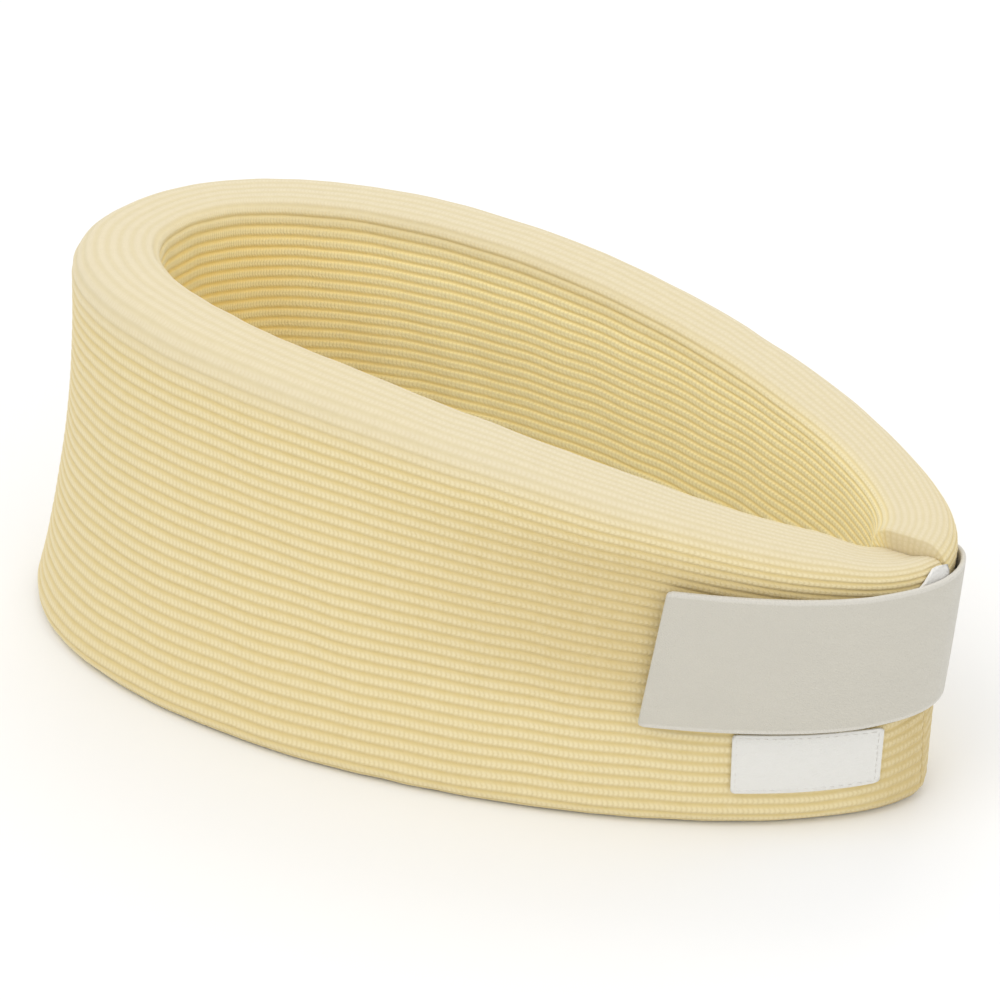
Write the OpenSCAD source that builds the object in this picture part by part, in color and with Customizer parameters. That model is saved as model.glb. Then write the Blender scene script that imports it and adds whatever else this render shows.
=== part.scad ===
// Soft cervical collar: a long foam strip in a ribbed knit cover, bent to a
// ring that leans inwards at the back and comes to a rounded point at the
// front, closed there by a hook-and-loop tape.
// +Z is up, +X is the front (the closure), the base rests on Z = 0, and the
// origin is the middle of the neck opening at the base.

/* [Ring] */
// Front-to-back length of the foam's centreline at the base
ring_len = 244; // [236:1:252]
// Sideways distance of the guide points that round the back
rear_guide = 14; // [12:1:18]
// Sideways distance of the guide points that widen the back
back_guide = 97; // [92:1:102]
// Sideways distance of the guide points that shape the long arms
arm_guide = 85; // [80:1:90]
// Position along the length of the guide points that shape the long arms
arm_guide_x = 25; // [20:1:30]
// Sideways distance of the guide points that round the front
front_guide = 29.5; // [29.5:0.5:34]

/* [Foam and cover] */
// Height at the back
back_h = 103.5; // [95:0.5:110]
// Height at the front, where the ends meet
front_h = 72.5; // [70:0.5:78]
// How late the height falls towards the front
height_power = 2.7; // [2:0.1:3]
// Thickness of the covered foam
pad_t = 21; // [20:0.5:21]
// Extra thickness on the inside of the rear bend, where the foam bunches
bunch = 3.5; // [0:0.5:4]
// Thickness of the knitted cover
cover_t = 1.4; // [1:0.1:1.8]
// How far the top of the back leans inwards
lean_back = 17; // [12:1:18]
// How far the top of the front leans outwards
lean_front = 6.5; // [3:0.5:8]
// Share of the lean that is a flare near the base, at the back
flare_back = 0.9; // [0:0.1:0.9]
// Share of the lean that is a flare near the base, at the front
flare_front = 0.3; // [0:0.1:0.5]
// Rounding of the outer top edge
r_top_out = 7.5; // [6:0.5:8]
// Rounding of the inner top edge
r_top_in = 4.5; // [4:0.5:6]
// Rounding of both bottom edges
r_bottom = 5; // [4:0.5:6]
// Rounding of the closed ends of the two arms
r_end = 2.5; // [2:0.1:3]
// Distance of each arm's flat end from the middle of the front, where they butt
seam_gap = 0.5; // [0.5:0.1:1]
// How far the second arm's top edge sinks at its end
end_sink = 5.5; // [2:0.5:6]

/* [Closure strap] */
// Width of the hook-and-loop tape
strap_w = 37.5; // [34:0.5:38]
// Thickness of the tape
strap_t = 1.3; // [1:0.1:1.4]
// Height of the tape's lower edge
strap_z = 30; // [28:1:31]
// How far along the first arm the tape is sewn down
anchor_end = 62; // [50:1:70]
// How far along the second arm the tape's free end reaches
tab_end = 58.5; // [50:1:70]
// Distance of the tape's two fold lines from the middle of the front
fold_d = 14; // [12:1:16]
// How far the tape's sewn end sits lower than its free end
strap_fall = 8.5; // [7:0.5:9]
// Thickness of the hook patch
hook_t = 0.8; // [0.6:0.1:0.9]
// Thickness of the loop pad
loop_t = 0.9; // [0.6:0.1:0.9]

/* [Label] */
// Start of the woven label, from the middle of the front
label_start = 8.5; // [8:0.5:12]
// End of the woven label
label_end = 40; // [34:1:44]
// Height of the woven label's lower edge
label_z = 11; // [10:0.5:12]
// Width of the woven label
label_h = 17; // [12:0.5:17]
// Thickness of the woven label
label_t = 0.6; // [0.4:0.1:0.8]

/* [Hidden] */

FAR = 1;
NEAR = -1;
rear_gap = 0.15;   // half of the clearance between the two halves at the back
snug = 0.15;       // foam to cover
T = pad_t / 2;
stations = 24;     // along one arm
KNIT = [0.91, 0.84, 0.64];
FOAM = [0.96, 0.93, 0.80];
TAPE = [0.80, 0.78, 0.74];
WHITE = [0.93, 0.92, 0.89];
THREAD = [0.88, 0.85, 0.76];

// ---- plan curve of one arm, from the middle of the back to the middle of the front
PLAN = [[-ring_len / 2, 0], [-ring_len / 2, rear_guide], [-ring_len / 2 + 1, back_guide],
        [arm_guide_x, arm_guide], [ring_len / 2, front_guide], [ring_len / 2, 0]];
LEGS = [for (i = [0:4]) 5 * (PLAN[i + 1] - PLAN[i])];
function bez(P, v) = len(P) == 1 ? P[0] : bez([for (i = [0:len(P) - 2]) P[i] * (1 - v) + P[i + 1] * v], v);
function unit(a) = a / norm(a);

// distance d along the curve is counted from the middle of the front
STEPS = 240;
CURVE = [for (i = [0:STEPS]) bez(PLAN, i / STEPS)];
LENGTHS = [for (i = STEPS, s = 0; i >= 0; s = s + (i > 0 ? norm(CURVE[i] - CURVE[i - 1]) : 0), i = i - 1) [s, i / STEPS]];
BACKWARDS = [for (p = LENGTHS) [p[1], p[0]]];
HALF = LENGTHS[STEPS][0];
function v_at(d) = lookup(d, LENGTHS);
function d_at(v) = lookup(v, BACKWARDS);

// ---- height, lean and thickness by how far forward a section stands (0 back, 1 front)
function fwd(d) = min(1, max(0, bez(PLAN, v_at(d))[0] / ring_len + 0.5));
function height(d) = back_h - (back_h - front_h) * pow(fwd(d), height_power);
function lean(d, z) =
    let (s = fwd(d), a = lean_back - (lean_back + lean_front) * pow(s, 2.4),
         q = flare_back + (flare_front - flare_back) * s, w = z / height(d))
    a * ((1 - q) * w + q * (1 - (1 - w) * (1 - w)));
function inner_t(d) = T + bunch * pow(1 - fwd(d), 5);

// point on a section: w outwards from the centreline, z up
function at(side, d, w, z) =
    let (v = v_at(d), c = bez(PLAN, v), t = unit(bez(LEGS, v)), off = w - lean(d, z))
    [c[0] - t[1] * off, side * (c[1] + t[0] * off + rear_gap * (1 - fwd(d))), z];

// rounded section, anticlockwise from the lower outer corner, inset by i
function arc(cx, cy, r, a) = [for (k = [0:3]) [cx + r * cos(a + 30 * k), cy + r * sin(a + 30 * k)]];
function wall(a, b) = [for (k = [1:3]) a + (b - a) * k / 4];
function section(d, i) =
    let (h = height(d) - i, wo = T - i, wi = -inner_t(d) + i,
         ro = max(0.6, r_top_out - i), ri = max(0.6, r_top_in - i), rb = max(0.6, r_bottom - i))
    concat(arc(wo - rb, i + rb, rb, -90), wall([wo, i + rb], [wo, h - ro]),
           arc(wo - ro, h - ro, ro, 0), arc(wi + ri, h - ri, ri, 90),
           wall([wi, h - ri], [wi, i + rb]), arc(wi + rb, i + rb, rb, 180));
// the arms' ends are pressed flat against each other: near the end an arm is drawn
// on to the plane that stands seam_gap from the middle
END = seam_gap + 0.3;
// the folded mouths make the nose fuller at the base
function toe(d, z) = 4 * pow(max(0, 1 - z / 30), 1.2) * pow(max(0, 1 - d / 20), 2);
// the second arm's top edge sinks towards its end
function sink(side, d, w, z) = side == FAR ? 0 :
    end_sink * pow(max(0, 1 - d / 20), 1.2) * pow(max(0, (z - front_h + 12.5) / 12.5), 1.2) * min(1, max(0.35, 1 - (w - 1) / 14));
function arm_at(side, d, w0, z0) =
    let (w = w0 + toe(d, z0), z = z0 - sink(side, d, w0, z0),
         f = pow(max(0, 1 - max(0, d - END) / 12), 2), y = side * at(side, END, w, z)[1])
    at(side, d, w, z) - [0, side * f * (y - seam_gap), 0];
function ring(side, d, i) = [for (p = section(d, i)) arm_at(side, d, p[0], p[1])];

// stations of an arm's surface with inset i, whose closed end stands at distance e
function arm_rings(side, e, i, angles) =
    let (v_end = v_at(e + r_end), r = r_end - i)
    concat([for (k = [0:stations]) ring(side, d_at(k / stations * v_end), i)],
           [for (a = angles) ring(side, e + r_end - r * sin(a), i + r * (1 - cos(a)))]);

// ---- skins: quads of rings cut to triangles
function skin(m, n, base, flip) = [for (k = [0:n - 2]) for (j = [0:m - 1])
    let (a = base + k * m + j, b = base + k * m + (j + 1) % m, c = b + m, e = a + m)
    each (flip ? [[a, c, b], [a, e, c]] : [[a, b, c], [a, c, e]])];
function cap(m, base, flip) = [for (j = [1:m - 2]) flip ? [base, base + j + 1, base + j] : [base, base + j, base + j + 1]];
function rim(m, a0, b0, flip) = [for (j = [0:m - 1])
    let (a = a0 + j, b = a0 + (j + 1) % m, c = b0 + (j + 1) % m, e = b0 + j)
    each (flip ? [[a, b, c], [a, c, e]] : [[a, c, b], [a, e, c]])];

// closed solid from rings
module loft(rings, flip) {
    m = len(rings[0]);
    n = len(rings);
    polyhedron(points = [for (r = rings) each r],
               faces = concat(skin(m, n, 0, flip), cap(m, 0, !flip), cap(m, (n - 1) * m, flip)));
}
// open tube between an outer and an inner set of rings
module tube(outer, inner, flip) {
    m = len(outer[0]);
    n = len(outer);
    polyhedron(points = concat([for (r = outer) each r], [for (r = inner) each r]),
               faces = concat(skin(m, n, 0, flip), skin(m, n, n * m, !flip),
                              rim(m, 0, n * m, flip), rim(m, (n - 1) * m, (2 * n - 1) * m, !flip)));
}

// ---- bodies of the two arms
module foam_core(side) {
    // the foam stops short of the folded-in mouth
    color(FOAM) loft(arm_rings(side, END, cover_t + snug, []), side == FAR);
}
module knit_cover(side) {
    angles = [18, 36, 54, 72, 90];
    color(KNIT) tube(arm_rings(side, END, 0, angles), arm_rings(side, END, cover_t, angles), side == FAR);
}
// the cover's mouth, folded in and pressed flat
module end_tuck(side) {
    color(KNIT) loft([for (k = [3:-1:0]) ring(side, END + 0.2 + (r_end - 0.4) * k / 3, r_end + 0.05)], side == FAR);
}

// ---- thread
module rod(a, b, r) {
    v = b - a;
    translate(a) rotate([0, acos(v[2] / norm(v)), atan2(v[1], v[0])]) cylinder(h = norm(v), r = r, $fn = 24);
}
// stitches across a closed end
module end_seam(side) {
    n = 12;
    r = 0.14;
    color(THREAD) for (k = [0:n - 1]) {
        z = r_bottom + 3 + (height(END) - r_bottom - r_top_out - 6) * k / (n - 1);
        a = arm_at(side, END, -T + r_end - 0.5, z);
        b = arm_at(side, END, T - r_end + 0.5, z + 1.2);
        out = side * [0, -1, 0];
        rod(a + out * (r + 0.03), b + out * (r + 0.03), r);
    }
}
// a row of stitches on an arm's outer wall at lift t above it, from (d0, z0) to (d1, z1)
module stitch_row(side, t, d0, z0, d1, z1, n) {
    r = 0.22;
    for (k = [0:n - 1]) {
        f0 = (k + 0.2) / n;
        f1 = (k + 0.8) / n;
        rod(arm_at(side, d0 + (d1 - d0) * f0, T + t + r + 0.06, z0 + (z1 - z0) * f0),
            arm_at(side, d0 + (d1 - d0) * f1, T + t + r + 0.06, z0 + (z1 - z0) * f1), r);
    }
}
module stitch_box(side, t, d0, z0, d1, z1, nd, nz) {
    stitch_row(side, t, d0, z0, d1, z0, nd);
    stitch_row(side, t, d1, z0, d1, z1, nz);
    stitch_row(side, t, d1, z1, d0, z1, nd);
    stitch_row(side, t, d0, z1, d0, z0, nz);
}

// ---- flat pieces that lie on an arm's outer wall
// a cross-section between lifts t0 and t1 and heights z0 and z1
function strip_ring(side, d, t0, t1, z0, z1) =
    concat([for (k = [0:3]) arm_at(side, d, T + t1, z0 + (z1 - z0) * k / 3)],
           [for (k = [3:-1:0]) arm_at(side, d, T + t0, z0 + (z1 - z0) * k / 3)]);
module strip(side, ds, t0, t1, z0, z1) {
    loft([for (d = ds) strip_ring(side, d, t0, t1, z0, z1)], side == FAR);
}
function steps(a, b, n) = [for (k = [0:n]) a + (b - a) * k / n];

// ---- closure tape: lifts above the outer wall
anchor_lift = 0.1;
bridge_lift = 0.3;                       // at the first fold line
hook_lift = loop_t + 0.4;
tab_lift = hook_lift + hook_t + 0.15;    // at the second fold line
pad_lift = 0.16;                         // loop pad
fold_gap = 0.15;
strap_top = strap_z + strap_w;
// the tape slopes down as it goes round the front on to the first arm; u counts from the
// middle of the front, first arm positive
function fall(u) =
    let (x = (u + fold_d) / (2 * fold_d), y = min(1, max(0, (u - fold_d) / 7)))
    -0.8 * strap_fall * (x < 0 ? 0 : x > 1 ? 1 : x * x) - 0.2 * strap_fall * y * (2 - y);

module strap_anchor() {
    color(TAPE) loft([for (d = concat(steps(anchor_end, fold_d + 9, 6), steps(fold_d + 7, fold_d + fold_gap, 6)))
                      strip_ring(FAR, d, anchor_lift, anchor_lift + strap_t, strap_z + fall(d), strap_top + fall(d))], true);
}
// the stretch round the front: from fold_d on the first arm to fold_d on the second
function bridge_ring(f) =
    let (u = (1 - 2 * f) * (fold_d - fold_gap), side = u >= 0 ? FAR : NEAR,
         lift = bridge_lift + (tab_lift - bridge_lift) * pow(f, 1.5), z = strap_z + fall(u))
    concat([for (k = [0:3]) at(side, abs(u), T + lift + strap_t, z + strap_w * k / 3)],
           [for (k = [3:-1:0]) at(side, abs(u), T + lift, z + strap_w * k / 3)]);
module strap_bridge() {
    color(TAPE) loft([for (f = steps(0, 1, 16)) bridge_ring(f)], true);
}
// the free end is cut on a slant: its top edge is shorter
function tab_ring(d, t0, t1, z0, z1) =
    let (s = (d - fold_d) / (tab_end - fold_d))
    concat([for (k = [0:3]) at(NEAR, d + s * 3 * (1 - 2 * k / 3), T + t1, z0 + (z1 - z0) * k / 3)],
           [for (k = [3:-1:0]) at(NEAR, d + s * 3 * (1 - 2 * k / 3), T + t0, z0 + (z1 - z0) * k / 3)]);
module strap_tab() {
    color(TAPE) loft([for (d = steps(tab_end, fold_d + fold_gap, 10)) tab_ring(d, tab_lift, tab_lift + strap_t, strap_z, strap_top)], false);
}
// welded to the tape's inner face, so no stitches show on its outer face
module hook_patch() {
    color(TAPE * 0.92) loft([for (d = steps(tab_end - 5, fold_d + 5, 8)) tab_ring(d, hook_lift, hook_lift + hook_t, strap_z + 2, strap_top - 2)], false);
}
module strap_anchor_stitching() {
    z = strap_z - strap_fall;
    color(THREAD) stitch_box(FAR, anchor_lift + strap_t, fold_d + 8, z + 3.2, anchor_end - 3, z + strap_w - 3.2, 11, 9);
}

// ---- loop pad: lies on the second arm and wraps its end
loop_z0 = strap_z + 2;
// its top edge rises at the arm's end, where it shows above the tape
function loop_z1(d) = strap_top - 2 + 2.4 * min(1, max(0, (12 - d) / 8));
// a: how far the pad turns round the arm's end corner, t: lift, z: height
function loop_point(d, a, t, z) = arm_at(NEAR, d - (r_end + t) * sin(a), T - r_end + (r_end + t) * cos(a), z);
function loop_ring(d, a = 0) =
    concat([for (k = [0:3]) loop_point(d, a, pad_lift + loop_t, loop_z0 + (loop_z1(d) - loop_z0) * k / 3)],
           [for (k = [3:-1:0]) loop_point(d, a, pad_lift, loop_z0 + (loop_z1(d) - loop_z0) * k / 3)]);
module loop_pad() {
    color(WHITE) loft(concat([for (d = concat(steps(tab_end - 8, 13, 6), steps(12, END + r_end, 6))) loop_ring(d)],
                             [for (a = [12, 24, 36]) loop_ring(END + r_end, a)]), false);
}
module loop_pad_stitching() {
    color(THREAD) for (z = [loop_z0 + 3.2, strap_top - 5.2])
        stitch_row(NEAR, -0.1, tab_end - 6, z - 2, tab_end - 6, z + 2, 1);
}

// ---- label
module label() {
    color(WHITE) strip(NEAR, steps(label_end, label_start, 20), 0.1, 0.1 + label_t, label_z, label_z + label_h);
}
module label_stitching() {
    color(WHITE) stitch_box(NEAR, 0.1 + label_t, label_start + 1, label_z + 1.2, label_end - 1, label_z + label_h - 1.2, 9, 5);
}

module foam_core_far() foam_core(FAR);
module foam_core_near() foam_core(NEAR);
module knit_cover_far() knit_cover(FAR);
module knit_cover_near() knit_cover(NEAR);
module end_tuck_far() end_tuck(FAR);
module end_tuck_near() end_tuck(NEAR);
module end_seam_far() end_seam(FAR);
module end_seam_near() end_seam(NEAR);

foam_core_far();
knit_cover_far();
end_tuck_far();
end_seam_far();
strap_anchor();
strap_anchor_stitching();
foam_core_near();
knit_cover_near();
end_tuck_near();
end_seam_near();
loop_pad();
loop_pad_stitching();
label();
label_stitching();
strap_bridge();
strap_tab();
hook_patch();
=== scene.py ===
import math

import bpy
import numpy as np
from mathutils import Matrix, Vector


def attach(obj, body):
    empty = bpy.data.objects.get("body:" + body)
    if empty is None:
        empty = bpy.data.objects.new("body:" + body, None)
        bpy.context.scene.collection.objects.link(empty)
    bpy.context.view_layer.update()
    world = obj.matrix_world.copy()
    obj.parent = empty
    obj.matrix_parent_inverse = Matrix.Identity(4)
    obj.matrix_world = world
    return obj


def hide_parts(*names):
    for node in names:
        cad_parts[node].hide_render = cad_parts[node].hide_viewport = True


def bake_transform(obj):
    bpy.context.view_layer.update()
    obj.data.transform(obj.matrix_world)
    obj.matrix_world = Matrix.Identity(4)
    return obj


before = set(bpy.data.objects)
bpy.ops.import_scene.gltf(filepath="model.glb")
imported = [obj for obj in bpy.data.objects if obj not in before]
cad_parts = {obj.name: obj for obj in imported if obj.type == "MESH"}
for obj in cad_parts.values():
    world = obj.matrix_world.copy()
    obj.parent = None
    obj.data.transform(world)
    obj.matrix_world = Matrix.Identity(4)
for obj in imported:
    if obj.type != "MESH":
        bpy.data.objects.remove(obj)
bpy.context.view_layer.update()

FAR, NEAR = 1, -1

# ---------------------------------------------------------------- the collar's own geometry, in millimetres
# The same curves as the construction: a distance d counts along one arm from the middle of the front.
RING_LEN, BACK_H, FRONT_H, H_POW = 244.0, 103.5, 72.5, 2.7
T, BUNCH = 10.5, 3.5
LEAN_BACK, LEAN_FRONT, FLARE_BACK, FLARE_FRONT = 17.0, 6.5, 0.9, 0.3
R_TOP_OUT, R_TOP_IN, R_BOTTOM = 7.5, 4.5, 5.0
PLAN = np.array([[-RING_LEN / 2, 0], [-RING_LEN / 2, 14], [-RING_LEN / 2 + 1, 97],
                 [25, 85], [RING_LEN / 2, 29.5], [RING_LEN / 2, 0]], float)
STRAP_W, STRAP_T, STRAP_Z = 37.5, 1.3, 30.0
STRAP_TOP = STRAP_Z + STRAP_W
ANCHOR_END, TAB_END, FOLD_D = 62.0, 58.5, 14.0
END, SEAM, R_END = 0.8, 0.05, 0.7      # the arms' flat ends, half the gap between them, their edge rounding
STRAP_FALL = 8.5


def bez(points, v):
    v = np.asarray(v, float)[..., None]
    n = len(points) - 1
    return sum(math.comb(n, i) * (1 - v) ** (n - i) * v ** i * points[i] for i in range(n + 1))


_V = np.linspace(0, 1, 4001)
_C = bez(PLAN, _V)
_S = np.concatenate([[0], np.cumsum(np.linalg.norm(np.diff(_C, axis=0), axis=1))])
HALF = float(_S[-1])


def curve(d):
    """Centre, tangent towards the front and outward normal at distance d."""
    v = np.interp(HALF - np.asarray(d, float), _S, _V)
    c = bez(PLAN, v)
    t = bez(5 * (PLAN[1:] - PLAN[:-1]), v)
    t = t / np.linalg.norm(t, axis=-1, keepdims=True)
    return c, t, np.stack([-t[..., 1], t[..., 0]], -1)


def fwd(d):
    return np.clip(curve(d)[0][..., 0] / RING_LEN + 0.5, 0, 1)


def height(d):
    return BACK_H - (BACK_H - FRONT_H) * fwd(d) ** H_POW


def inner_t(d):
    return T + BUNCH * (1 - fwd(d)) ** 5


def place(side, d, w, z):
    """Points w outwards of the centreline at height z, on one arm."""
    d, w, z = np.broadcast_arrays(np.asarray(d, float), np.asarray(w, float), np.asarray(z, float))
    c, t, n = curve(d)
    s = np.clip(c[..., 0] / RING_LEN + 0.5, 0, 1)
    a = LEAN_BACK - (LEAN_BACK + LEAN_FRONT) * s ** 2.4
    q = FLARE_BACK + (FLARE_FRONT - FLARE_BACK) * s
    k = z / (BACK_H - (BACK_H - FRONT_H) * s ** H_POW)
    off = w - a * ((1 - q) * k + q * (1 - (1 - k) ** 2))
    return np.stack([c[..., 0] + n[..., 0] * off, side * (c[..., 1] + n[..., 1] * off), z], -1)


def arm_place(side, d, w, z):
    """As place, with the arm's end drawn flat on to the plane where the two ends press together."""
    d, w, z = np.broadcast_arrays(np.asarray(d, float), np.asarray(w, float), np.asarray(z, float))
    # the folded mouths make the nose fuller at the base, and the second arm's top sinks towards its end
    w = w + 4.0 * np.clip(1 - z / 30, 0, 1) ** 1.2 * np.clip(1 - d / 20, 0, 1) ** 2
    if side == NEAR:
        z = z - 5.5 * np.clip(1 - d / 20, 0, 1) ** 1.2 * np.clip((z - 60.0) / 12.5, 0, 1) ** 1.2 * np.clip(1 - (w - 1) / 14, 0.35, 1)
    p = place(side, d, w, z)
    fade = np.clip(1 - np.maximum(0, d - END) / 12, 0, 1) ** 2
    y_end = side * place(side, np.full_like(d, END), w, z)[..., 1]
    p[..., 1] -= side * fade * (y_end - SEAM)
    return p


def section(d, inset=0.0):
    """The rounded section at d: its points, their outward directions and the length round it.
    It starts at the middle of the base edge and goes outwards, up, over the top and down the inside."""
    h = float(height(d)) - inset
    z0 = inset
    wo, wi = T - inset, -float(inner_t(d)) + inset
    half = (wo - wi) / 2 * 0.98
    ro, ri = (min(max(0.5, r - inset), half) for r in (R_TOP_OUT, R_TOP_IN))
    rb = min(max(0.5, R_BOTTOM - inset), half)
    if ro + ri > wo - wi:
        k = (wo - wi) * 0.98 / (ro + ri)
        ro, ri = ro * k, ri * k
    pts, dirs = [], []

    def line(a, b, n, way):
        for k in range(n):
            f = k / n
            pts.append((a[0] + (b[0] - a[0]) * f, a[1] + (b[1] - a[1]) * f))
            dirs.append(way)

    def arc(cx, cz, r, a0, n=10):
        for k in range(n + 1):
            a = math.radians(a0 + 90 * k / n)
            pts.append((cx + r * math.cos(a), cz + r * math.sin(a)))
            dirs.append(a)

    mid = (wo + wi) / 2
    line((mid, z0), (wo - rb, z0), 4, math.radians(-90))
    arc(wo - rb, z0 + rb, rb, -90)
    line((wo, z0 + rb), (wo, h - ro), 12, 0.0)
    arc(wo - ro, h - ro, ro, 0)
    line((wo - ro, h), (wi + ri, h), 4, math.radians(90))
    arc(wi + ri, h - ri, ri, 90)
    line((wi, h - ri), (wi, z0 + rb), 12, math.radians(180))
    arc(wi + rb, z0 + rb, rb, 180)
    line((wi + rb, z0), (mid, z0), 4, math.radians(270))
    pts.append((mid, z0))
    dirs.append(math.radians(270))
    p = np.array(pts)
    s = np.concatenate([[0], np.cumsum(np.linalg.norm(np.diff(p, axis=0), axis=1))])
    keep = np.concatenate([[True], np.diff(s) > 1e-9])
    return p[keep], np.array(dirs)[keep], s[keep]


# ---------------------------------------------------------------- smooth, seeded unevenness
_rng = np.random.default_rng(7)


def waves(n, short, long, cross):
    """A smooth uneven field over (distance, place round the section 0..1), about -1 to 1."""
    k = [(2 * math.pi / _rng.uniform(short, long), _rng.integers(0, cross + 1), _rng.uniform(0, 2 * math.pi),
          _rng.choice([-1, 1])) for _ in range(n)]

    def field(x, f):
        return sum(np.sin(x * a + s * 2 * math.pi * b * f + c) for a, b, c, s in k) / math.sqrt(n) / 1.2
    return field


SWAY = waves(9, 26, 90, 5)       # ribs wander sideways
PUFF = waves(9, 30, 110, 4)      # the surface swells and sinks
NIP = waves(12, 9, 24, 14)       # small local swellings of single ribs
RIBS = 76
RIB_SIZE = _rng.normal(0, 1, RIBS)


SETTLED = None                   # how far the cloth run moved the surface, on a grid of (q, place round the section)


def settled(q, fr):
    if SETTLED is None:
        return 0.0
    qs, grid = SETTLED
    i = np.clip(np.interp(q, qs, np.arange(len(qs))), 0, len(qs) - 1.001)
    row = grid[int(i)] * (1 - i % 1) + grid[int(i) + 1] * (i % 1)
    n = grid.shape[1]
    j = (np.asarray(fr, float) % 1.0) * n
    j0 = np.floor(j).astype(int) % n
    return row[j0] * (1 - j % 1) + row[(j0 + 1) % n] * (j % 1)


# ---------------------------------------------------------------- mesh helpers
def new_mesh(name, verts, faces, uv=None, uv_name="cloth", smooth=True):
    """verts in millimetres; faces lists of corners; uv one pair per corner, in face order."""
    me = bpy.data.meshes.new(name)
    me.from_pydata((np.asarray(verts, float) * 0.001).tolist(), [], [list(map(int, f)) for f in faces])
    if uv is not None:
        layer = me.uv_layers.new(name=uv_name)
        layer.data.foreach_set("uv", np.asarray(uv, np.float32).ravel())
    me.polygons.foreach_set("use_smooth", [smooth] * len(me.polygons))
    me.update()
    ob = bpy.data.objects.new(name, me)
    bpy.context.scene.collection.objects.link(ob)
    return ob


def outward(ob):
    """Turns a closed mesh's faces outwards."""
    me = ob.data
    me.calc_loop_triangles()
    v = np.zeros(len(me.vertices) * 3)
    me.vertices.foreach_get("co", v)
    v = v.reshape(-1, 3)
    t = np.zeros(len(me.loop_triangles) * 3, int)
    me.loop_triangles.foreach_get("vertices", t)
    a, b, c = (v[t.reshape(-1, 3)[:, k]] for k in range(3))
    if (a * np.cross(b, c)).sum() < 0:
        me.flip_normals()
    return ob


def grid_faces(rows, cols, base=0, wrap=True, flip=False):
    """Quads of a grid and, for each corner, its (row, column) without wrapping."""
    i, j = np.meshgrid(np.arange(rows - 1), np.arange(cols if wrap else cols - 1), indexing="ij")
    i, j = i.ravel(), j.ravel()
    corners = [(i, j), (i + 1, j), (i + 1, j + 1), (i, j + 1)]
    if flip:
        corners = corners[::-1]
    quads = np.stack([base + a * cols + b % cols for a, b in corners], -1)
    return quads, np.stack([np.stack([a, b], -1) for a, b in corners], 1)


def finish_piece(ob, material, body=None):
    ob.data.materials.clear()
    ob.data.materials.append(material)
    if body:
        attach(ob, body)
    return ob


# ---------------------------------------------------------------- node helpers
class Nodes:
    def __init__(self, name):
        self.mat = bpy.data.materials.new(name)
        self.mat.use_nodes = True
        self.nt = self.mat.node_tree
        self.nt.nodes.clear()
        self.out = self.nt.nodes.new("ShaderNodeOutputMaterial")
        self.bsdf = self.nt.nodes.new("ShaderNodeBsdfPrincipled")
        self.nt.links.new(self.bsdf.outputs[0], self.out.inputs[0])

    def add(self, kind, **props):
        n = self.nt.nodes.new(kind)
        for k, v in props.items():
            setattr(n, k, v)
        return n

    def put(self, socket, value):
        if isinstance(value, bpy.types.NodeSocket):
            self.nt.links.new(value, socket)
        else:
            socket.default_value = value

    def math(self, op, a, b=0.0, c=0.0, clamp=False):
        n = self.add("ShaderNodeMath", operation=op, use_clamp=clamp)
        for s, v in zip(n.inputs, (a, b, c)):
            self.put(s, v)
        return n.outputs[0]

    def uv(self, name):
        n = self.add("ShaderNodeUVMap", uv_map=name)
        x = self.add("ShaderNodeSeparateXYZ")
        self.put(x.inputs[0], n.outputs[0])
        return x.outputs[0], x.outputs[1]

    def where(self):
        return self.add("ShaderNodeTexCoord").outputs["Object"]

    def vec(self, x, y, z=0.0):
        n = self.add("ShaderNodeCombineXYZ")
        for s, v in zip(n.inputs, (x, y, z)):
            self.put(s, v)
        return n.outputs[0]

    def noise(self, vector, scale, detail=2.0, rough=0.5, dist=0.0):
        n = self.add("ShaderNodeTexNoise")
        self.put(n.inputs["Vector"], vector)
        self.put(n.inputs["Scale"], scale)
        self.put(n.inputs["Detail"], detail)
        self.put(n.inputs["Roughness"], rough)
        self.put(n.inputs["Distortion"], dist)
        return n.outputs["Fac"]

    def remap(self, value, a0, a1, b0, b1, smooth=False):
        n = self.add("ShaderNodeMapRange", interpolation_type="SMOOTHSTEP" if smooth else "LINEAR", clamp=True)
        for s, v in zip(n.inputs, (value, a0, a1, b0, b1)):
            self.put(s, v)
        return n.outputs[0]

    def mix(self, fac, a, b, mode="MIX"):
        n = self.add("ShaderNodeMix", data_type="RGBA", blend_type=mode)
        self.put(n.inputs[0], fac)
        self.put(n.inputs[6], a)
        self.put(n.inputs[7], b)
        return n.outputs[2]

    def bump(self, height_mm, strength=1.0, normal=None):
        n = self.add("ShaderNodeBump")
        self.put(n.inputs["Strength"], strength)
        self.put(n.inputs["Distance"], 0.001)
        self.put(n.inputs["Height"], height_mm)
        if normal is not None:
            self.put(n.inputs["Normal"], normal)
        return n.outputs[0]

    def surface(self, color, normal=None, rough=0.8, sheen=0.0, sheen_rough=0.5, tint=(1, 1, 1, 1), spec=0.3):
        b = self.bsdf
        self.put(b.inputs["Base Color"], color)
        self.put(b.inputs["Roughness"], rough)
        b.inputs["Specular IOR Level"].default_value = spec
        b.inputs["Sheen Weight"].default_value = sheen
        b.inputs["Sheen Roughness"].default_value = sheen_rough
        b.inputs["Sheen Tint"].default_value = tint
        if normal is not None:
            self.put(b.inputs["Normal"], normal)
        return self.mat


def rgb(r, g, b):
    """A display colour 0..255 as a linear one."""
    def lin(c):
        c /= 255
        return c / 12.92 if c <= 0.04045 else ((c + 0.055) / 1.055) ** 2.4
    return (lin(r), lin(g), lin(b), 1.0)


# ---------------------------------------------------------------- materials
STITCH = 1.2      # millimetres of rib per knitted stitch


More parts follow.
